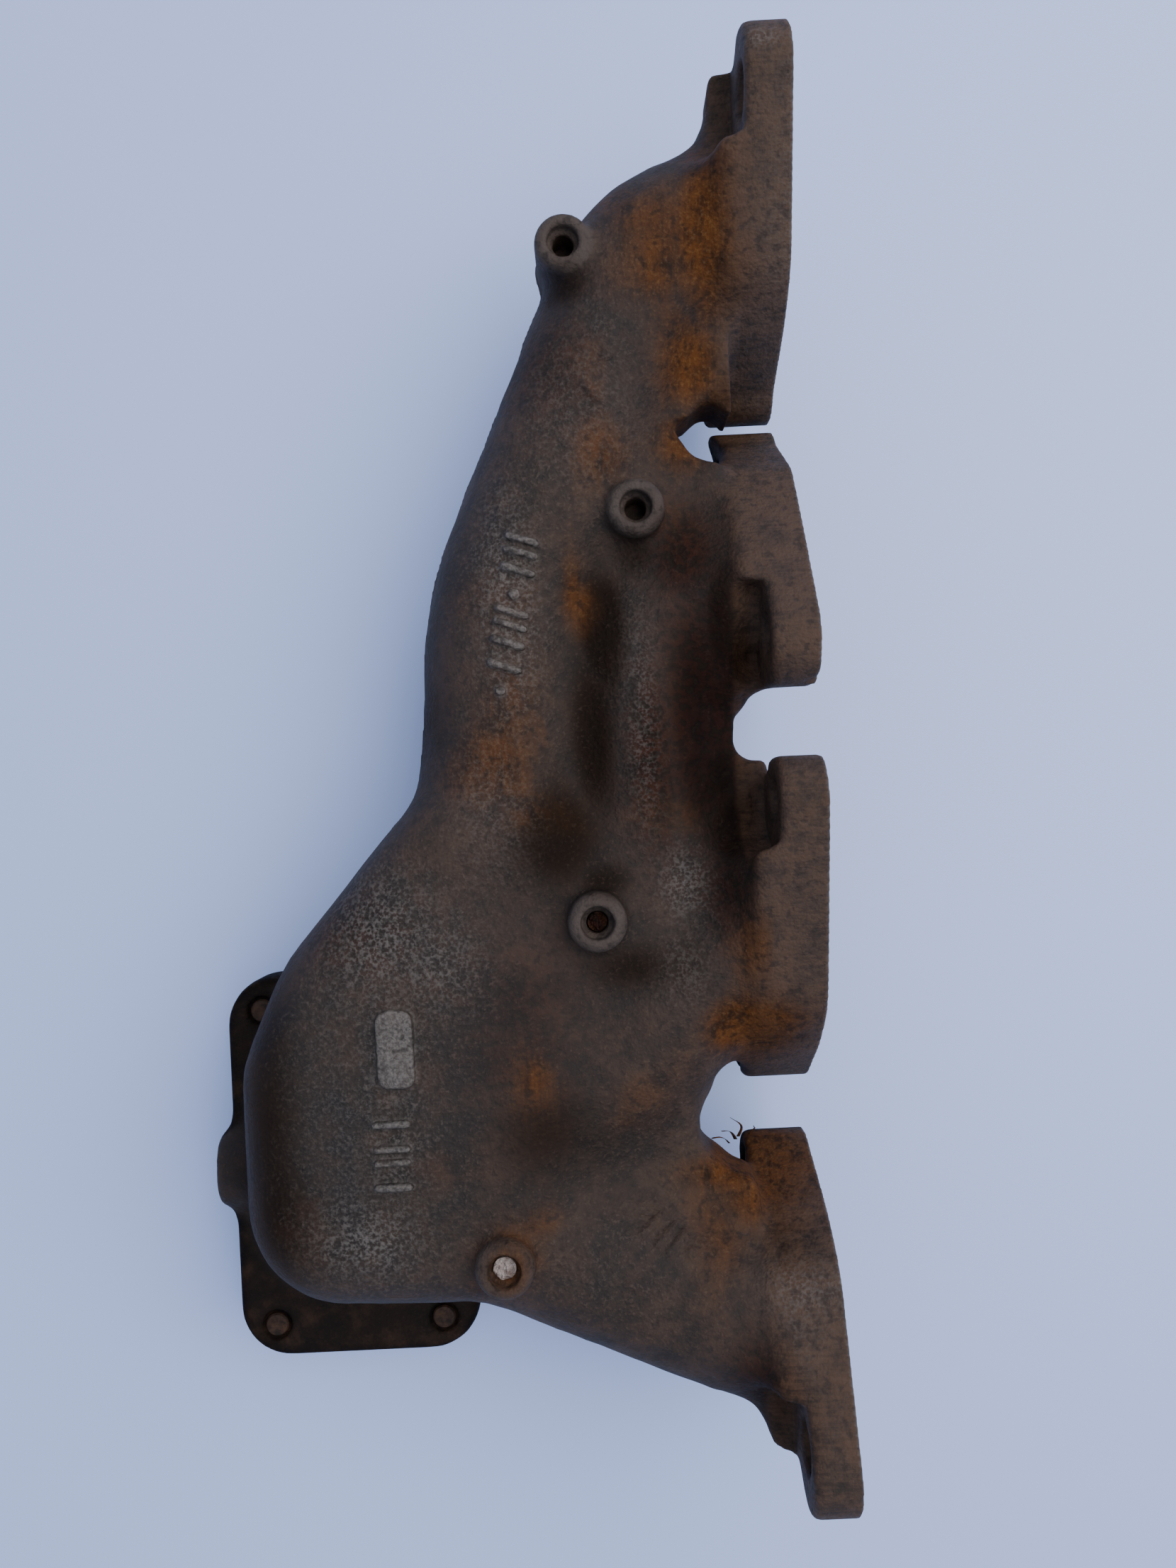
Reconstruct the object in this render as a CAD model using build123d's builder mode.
from build123d import *
import os

# Cast-iron exhaust manifold for a four-cylinder engine with a turbocharger.
#
# Frame: +Z up, +X towards the cylinder head, +Y along the row of ports, towards port 1.
# The origin is the centre of the turbo flange's joint face.
#
# The metal is one casting. It is written as the regions that a pattern maker would name,
# which meet face to face and leave the gas passages open, plus the studs and the two
# heat-shield bolts that have snapped off in their bosses.

# ---- driving dimensions (mm) ----
PORT_PITCH = 97.0            # cylinder spacing
HEAD_X = 135.0               # head joint plane
PORT_MID_Y = 111.0           # half way between ports 2 and 3
AXIS_Z = 39.0                # height of all port and passage axes
WALL = 4.5                   # casting wall

PORT_R = 18.0                # port mouth radius
PORT_RIM_R = 25.0            # flange metal round the port
FLANGE_T = 19.0              # head flange thickness
EAR_T = 12.5                 # metal left under the head nuts at the spot-faced ears
SPOT_R = 14.0                # spot face for a nut and its washer
SPOT_WALL = 2.5              # least metal left between a spot face and the port
EDGE_R = 1.5                 # rounding left on the flanges' cast edges

MAIN_R = 23.0                # outside radius of the long runner from port 1
SECOND_R = 20.5              # outside radius of the runner from port 2
THIRD_R = 22.0
FOURTH_R = 23.5

BOX_TOP_Z = 66.0             # top of the collector
BOX_EDGE_R = 19.0            # rounding of the collector's top edge

TURBO_X = 72.0               # turbo flange, across
TURBO_Y = 114.0              # turbo flange, along
TURBO_T = 13.0
TURBO_CORNER_R = 15.0
OUTLET_X = 42.0              # turbo inlet window
OUTLET_Y = 60.0
OUTLET_CORNER_R = 12.0
NECK_TOP = (3.0, 6.0)        # the neck leans from the collector out to the turbo flange
NECK_TOP_X = 37.0
NECK_TOP_Y = 51.0
NECK_TOP_CORNER_R = 18.0
STUD_SPACING_X = 50.0
STUD_SPACING_Y = 94.0
STUD_R = 4.0                 # M8 studs
STUD_OUT = 24.0              # length of stud below the joint face
STUD_CHAMFER = 0.7
TAP_R = 3.4                  # tapping hole of an M8 thread, and the stud's end inside it
TAP_MOUTH_R = 4.6            # relief round the stud at the joint face
TAP_MOUTH_DEPTH = 0.8

BOSS_R = 7.6                 # heat-shield bosses
BOSS_RIM = 0.8
BOSS_HOLE_R = 2.5            # tapping hole of an M6 thread
COUNTERBORE_R = 4.0
COUNTERBORE_DEPTH = 3.5

BRACE_R = 10.5               # brace boss on the outer edge of the turbo flange
BRACE_OUT = 4.0              # how far it stands out of that edge
BRACE_DEPTH = 13.0           # its whole length, the part let into the flange included
BRACE_Z = 11.0
BRACE_CHAMFER = 1.0
BRACE_HOLE_R = 4.25          # tapping hole of an M10 thread
BRACE_HOLE_DEPTH = 11.0

BOLT_END_LENGTH = 4.5        # what is left of the bolts that snapped off
WEB_T = 20.0                 # webs between neighbouring runners
NECK_WALL = 5.5

# Each head flange has a high ear and a low lug, one on either side of its port.
# Places along Y are counted from the port centre: the ear's rounded end, the lug's
# rounded end, and the shoulder that stiffens the outline between port and lug.
EAR_R = 12.3
LUG_R = 11.0
SHOULDER_R = 11.0
EAR_UP = 24.8                # ear centre above the port axis
LUG_DOWN = 25.2              # lug centre below it
FLANGES = [
    {"ear": 32.0, "ear_hole": 28.0, "lug": -28.5, "shoulder": -17.0, "hole_r": 6.5},
    {"ear": -15.0, "ear_hole": -13.5, "lug": 39.5, "shoulder": 25.0, "hole_r": 5.0},
    {"ear": 41.4, "ear_hole": 41.4, "lug": -33.5, "shoulder": -18.0, "hole_r": 5.0},
    {"ear": -32.0, "ear_hole": -27.0, "lug": 28.0, "shoulder": 17.0, "hole_r": 6.5},
]

# Heat-shield bosses. "at" is X from the head plane and Y from the middle of the ports.
BOSSES = [
    {"at": (-59.0, 140.3), "foot": 33.0, "top": 60.0, "hole_depth": 15.0},
    {"at": (-43.5, 70.0), "foot": 34.0, "top": 62.0, "hole_depth": 15.0},
    {"at": (-58.6, -36.1), "foot": 40.0, "top": 70.0, "hole_depth": 14.0},
    {"at": (-86.3, -122.5), "foot": 45.0, "top": 70.0, "hole_depth": 7.5},
]
BROKEN_BOSSES = (3, 4)       # these two still hold the end of a snapped bolt

# Where the long passage from port 1 is divided into regions, counted from the middle of
# the ports: below its elbow, and between its two bends. The collector has a throat too.
ELBOW_SPLIT = 95.0
BEND_SPLIT = 22.0
THROAT_SPLIT = -51.0

PORT_Y = [PORT_MID_Y + PORT_PITCH * (1.5 - i) for i in range(4)]
FLANGE_BACK_X = HEAD_X - FLANGE_T
CORE_BACK = 0.5              # how far a core runs past the face that it opens


def from_head(dx, dy):
    """A point of the plan, given from the head plane and the middle of the ports."""
    return (HEAD_X + dx, PORT_MID_Y + dy)


# ---- the four passages, as plan routes along the axis height ----
ROUTES = [
    # port 1: elbow, long diagonal run, then into the collector
    {"r": MAIN_R, "turns": [24.0, 80.0, 70.0],
     "route": [from_head(-35, 145.5), from_head(-79, 47), from_head(-82, -3), from_head(-118, -75)]},
    # port 2: elbow, then a run beside the long runner
    {"r": SECOND_R, "turns": [21.0, 45.0],
     "route": [from_head(-41, 48.5), from_head(-44, -30), from_head(-100, -85)]},
    # port 3: straight off its flange and down into the collector
    {"r": THIRD_R, "turns": [23.0, 40.0],
     "route": [from_head(-33, -48.5), from_head(-50, -78), from_head(-105, -92)]},
    # port 4: a short run rising back to the collector
    {"r": FOURTH_R, "turns": [28.0],
     "route": [from_head(-26, -145.5), from_head(-118, -104)]},
]


def runner(index, radius, start_x):
    """A round bar along one passage route, starting on the plane X = start_x."""
    spec = ROUTES[index]
    start = (start_x, PORT_Y[index])
    with BuildPart() as bar:
        with BuildLine(Plane.XY.offset(AXIS_Z)) as path:
            FilletPolyline(start, *spec["route"], radius=spec["turns"])
        with BuildSketch(Plane(origin=(start_x, PORT_Y[index], AXIS_Z), z_dir=(-1, 0, 0))):
            Circle(radius)
        sweep(path=path.line)
    return bar.part


# ---- collector plan: a rounded box that fans in from the long runner ----
BOX_PLAN = [
    from_head(-104, 0), from_head(-144, -46), from_head(-156, -72), from_head(-156, -136),
    from_head(-92, -138), from_head(-66, -122), from_head(-60, -60), from_head(-57, 0),
]
BOX_CORNERS = [22.0, 25.0, 30.0, 27.0, 25.0, 30.0, 30.0, 18.0]


def collector_block(inset, bottom_z, top_z, edge_r):
    """The collector's block, pulled in by inset on its sides."""
    with BuildPart() as block:
        with BuildSketch(Plane.XY.offset(bottom_z)):
            with BuildLine():
                FilletPolyline(*BOX_PLAN, radius=BOX_CORNERS, close=True)
            make_face()
            if inset:
                offset(amount=-inset, kind=Kind.ARC)
        extrude(amount=top_z - bottom_z)
        fillet(block.faces().sort_by(Axis.Z)[-1].edges(), edge_r)
    return block.part


def neck_block(wall):
    """The leaning neck between turbo flange and collector, with wall added all round."""
    with BuildPart() as neck:
        with BuildSketch(Plane.XY.offset(TURBO_T)):
            RectangleRounded(OUTLET_X + 2 * wall, OUTLET_Y + 2 * wall, OUTLET_CORNER_R + wall)
        with BuildSketch(Plane.XY.offset(AXIS_Z)):
            with Locations(NECK_TOP):
                RectangleRounded(NECK_TOP_X + 2 * wall, NECK_TOP_Y + 2 * wall,
                                 NECK_TOP_CORNER_R + wall)
        loft(ruled=True)
    return neck.part


# ---- shared cores: the gas passages as solids ----
with BuildPart() as gas_core:
    for i in range(4):
        add(runner(i, ROUTES[i]["r"] - WALL, FLANGE_BACK_X + CORE_BACK))
    add(collector_block(WALL, TURBO_T + WALL, BOX_TOP_Z - WALL, BOX_EDGE_R - WALL))
    with BuildSketch(Plane.XY.offset(-CORE_BACK)):
        RectangleRounded(OUTLET_X, OUTLET_Y, OUTLET_CORNER_R)
    extrude(amount=TURBO_T + CORE_BACK)
    add(neck_block(0))

# ---- the bolt holes of the heat-shield bosses, which run on into the walls below ----
with BuildPart() as boss_holes:
    for spec in BOSSES:
        with Locations((*from_head(*spec["at"]), spec["top"])):
            Cylinder(BOSS_HOLE_R, spec["hole_depth"], align=(Align.CENTER, Align.CENTER, Align.MAX))

box_block = collector_block(0, TURBO_T, BOX_TOP_Z, BOX_EDGE_R)
skins = [runner(i, ROUTES[i]["r"], FLANGE_BACK_X) for i in range(4)]


def biggest(part):
    """The largest solid of a part, leaving off any cut-off sliver."""
    with BuildPart() as kept:
        add(part.solids().sort_by(SortBy.VOLUME)[-1])
    return kept.part


os.makedirs("parts", exist_ok=True)


def write(part, name):
    part.label = name
    export_step(part, "parts/" + name + ".step")
    print(name, round(part.volume / 1000, 1), "cm3", len(part.solids()), "solid")


# ---- head flanges ----
EAR_Z = AXIS_Z + EAR_UP
LUG_Z = AXIS_Z - LUG_DOWN
for i, spec in enumerate(FLANGES):
    y0 = PORT_Y[i]
    holes = [(y0 + spec["ear_hole"], EAR_Z), (y0 + spec["lug"], LUG_Z)]
    with BuildPart() as port_flange:
        with BuildSketch(Plane.YZ.offset(HEAD_X)):
            with Locations((y0, AXIS_Z)):
                Circle(PORT_RIM_R)
            with Locations((y0 + spec["ear"], EAR_Z)):
                Circle(EAR_R)
            with Locations((y0 + spec["lug"], LUG_Z)):
                Circle(LUG_R)
            with Locations((y0 + spec["shoulder"], AXIS_Z)):
                Circle(SHOULDER_R)
            make_hull()
        extrude(amount=-FLANGE_T)
        fillet(port_flange.faces().sort_by(Axis.X)[0].edges(), EDGE_R)
        with BuildSketch(Plane.YZ.offset(HEAD_X)):
            with Locations((y0, AXIS_Z)):
                Circle(PORT_R)
            with Locations(*holes):
                Circle(spec["hole_r"])
        extrude(amount=-FLANGE_T, mode=Mode.SUBTRACT)
        with BuildSketch(Plane.YZ.offset(FLANGE_BACK_X)):
            with Locations(holes[0], (y0 + spec["ear"], EAR_Z)):
                Circle(SPOT_R)
            make_hull()
            with Locations((y0, AXIS_Z)):
                Circle(PORT_R + SPOT_WALL, mode=Mode.SUBTRACT)
        extrude(amount=FLANGE_T - EAR_T, mode=Mode.SUBTRACT)
    write(port_flange.part, "port_flange_" + str(i + 1))

# ---- collector, and the throat where the long passage widens into it ----
throat_plane = Plane(origin=(0, PORT_MID_Y + THROAT_SPLIT, 0), z_dir=(0, 1, 0))
for name, side in (("collector", Keep.BOTTOM), ("collector_throat", Keep.TOP)):
    with BuildPart() as collector:
        add(box_block)
        add(gas_core.part, mode=Mode.SUBTRACT)
        add(boss_holes.part, mode=Mode.SUBTRACT)
        split(bisect_by=throat_plane, keep=side)
    write(biggest(collector.part), name)

with BuildPart() as outlet_neck:
    add(neck_block(NECK_WALL))
    add(box_block, mode=Mode.SUBTRACT)
    add(gas_core.part, mode=Mode.SUBTRACT)
write(biggest(outlet_neck.part), "outlet_neck")

# ---- runners: the long one from port 1 in three regions, then the short ones ----
elbow_plane = Plane(origin=(0, PORT_MID_Y + ELBOW_SPLIT, 0), z_dir=(0, 1, 0))
bend_plane = Plane(origin=(0, PORT_MID_Y + BEND_SPLIT, 0), z_dir=(0, 1, 0))
LONG_RUNNER = {
    "runner_1": [(elbow_plane, Keep.TOP)],
    "long_runner_upper": [(elbow_plane, Keep.BOTTOM), (bend_plane, Keep.TOP)],
    "long_runner_lower": [(bend_plane, Keep.BOTTOM)],
}
for name, cuts in LONG_RUNNER.items():
    with BuildPart() as long_runner:
        add(skins[0])
        add(gas_core.part, mode=Mode.SUBTRACT)
        add(boss_holes.part, mode=Mode.SUBTRACT)
        for plane, side in cuts:
            split(bisect_by=plane, keep=side)
        add(box_block, mode=Mode.SUBTRACT)
    write(biggest(long_runner.part), name)

taken = [skins[0], box_block]
for i in range(1, 4):
    with BuildPart() as side_runner:
        add(skins[i])
        add(gas_core.part, mode=Mode.SUBTRACT)
        add(boss_holes.part, mode=Mode.SUBTRACT)
        for block in taken:
            add(block, mode=Mode.SUBTRACT)
    write(biggest(side_runner.part), "runner_" + str(i + 1))
    taken.append(skins[i])

# ---- webs: flat metal that closes the corner between neighbouring runners ----
WEBS = {
    "web_1_2": [from_head(-50, 88), from_head(-36, 101), from_head(-27, 86),
                from_head(-19, 84), from_head(-19, 62), from_head(-60, 55)],
    "web_3_4": [from_head(-64, -92), from_head(-36, -88), from_head(-34, -104),
                from_head(-19, -110), from_head(-19, -135), from_head(-72, -120)],
}
for name, outline in WEBS.items():
    with BuildPart() as web:
        with BuildSketch(Plane.XY.offset(AXIS_Z - WEB_T / 2)):
            Polygon(*outline, align=None)
        extrude(amount=WEB_T)
        for block in [box_block] + skins:
            add(block, mode=Mode.SUBTRACT)
        for spec in BOSSES:
            with BuildSketch(Plane.XY.offset(spec["foot"])):
                with Locations(from_head(*spec["at"])):
                    Circle(BOSS_R)
            extrude(amount=spec["top"] - spec["foot"], mode=Mode.SUBTRACT)
    write(biggest(web.part), name)

# ---- turbo flange, with the brace boss let into its outer edge ----
STUD_PLACES = GridLocations(STUD_SPACING_X, STUD_SPACING_Y, 2, 2)
BRACE_FACE_X = -TURBO_X / 2 - BRACE_OUT
with BuildPart() as brace_block:
    with BuildSketch(Plane.YZ.offset(BRACE_FACE_X)):
        with Locations((0, BRACE_Z)):
            Circle(BRACE_R)
        with Locations((0, BRACE_Z / 2)):
            Rectangle(2 * BRACE_R, BRACE_Z)
    extrude(amount=BRACE_DEPTH)

with BuildPart() as turbo_flange:
    with BuildSketch():
        RectangleRounded(TURBO_X, TURBO_Y, TURBO_CORNER_R)
    extrude(amount=TURBO_T)
    fillet(turbo_flange.faces().sort_by(Axis.Z)[-1].edges(), EDGE_R)
    with BuildSketch():
        RectangleRounded(OUTLET_X, OUTLET_Y, OUTLET_CORNER_R)
        with STUD_PLACES:
            Circle(TAP_R)
    extrude(amount=TURBO_T, mode=Mode.SUBTRACT)
    with BuildSketch():
        with STUD_PLACES:
            Circle(TAP_MOUTH_R)
    extrude(amount=TAP_MOUTH_DEPTH, mode=Mode.SUBTRACT)
    add(brace_block.part, mode=Mode.SUBTRACT)
write(turbo_flange.part, "turbo_flange")

with BuildPart() as brace_boss:
    add(brace_block.part)
    chamfer(brace_boss.faces().sort_by(Axis.X)[0].edges(), BRACE_CHAMFER)
    with BuildSketch(Plane.YZ.offset(BRACE_FACE_X)):
        with Locations((0, BRACE_Z)):
            Circle(BRACE_HOLE_R)
    extrude(amount=BRACE_HOLE_DEPTH, mode=Mode.SUBTRACT)
    add(box_block, mode=Mode.SUBTRACT)
    add(neck_block(NECK_WALL), mode=Mode.SUBTRACT)
write(biggest(brace_boss.part), "brace_boss")

# ---- studs in the turbo flange: their inner ends stand flush with its upper face ----
for number, place in enumerate(STUD_PLACES.locations, start=1):
    with BuildPart() as turbo_stud:
        with BuildSketch(Plane.XY.offset(-STUD_OUT)):
            with Locations(place):
                Circle(STUD_R)
        extrude(amount=STUD_OUT)
        chamfer(turbo_stud.edges().sort_by(Axis.Z)[0], STUD_CHAMFER)
        with BuildSketch():
            with Locations(place):
                Circle(TAP_R)
        extrude(amount=TURBO_T)
        chamfer(turbo_stud.edges().sort_by(Axis.Z)[-1], STUD_CHAMFER)
    write(turbo_stud.part, "turbo_stud_" + str(number))

# ---- heat-shield bosses and the bolt ends snapped off in two of them ----
for number, spec in enumerate(BOSSES, start=1):
    x, y = from_head(*spec["at"])
    with BuildPart() as shield_boss:
        with BuildSketch(Plane.XY.offset(spec["foot"])):
            with Locations((x, y)):
                Circle(BOSS_R)
        extrude(amount=spec["top"] - spec["foot"])
        fillet(shield_boss.faces().sort_by(Axis.Z)[-1].edges(), BOSS_RIM)
        for block in [box_block] + skins:
            add(block, mode=Mode.SUBTRACT)
        with Locations((x, y, spec["top"])):
            CounterBoreHole(BOSS_HOLE_R, COUNTERBORE_R, COUNTERBORE_DEPTH, spec["hole_depth"])
    write(biggest(shield_boss.part), "shield_boss_" + str(number))

    if number in BROKEN_BOSSES:
        with BuildPart() as broken_bolt:
            with Locations((x, y, spec["top"] - spec["hole_depth"])):
                Cylinder(BOSS_HOLE_R, BOLT_END_LENGTH,
                         align=(Align.CENTER, Align.CENTER, Align.MIN))
        write(broken_bolt.part, "broken_bolt_" + str(number))
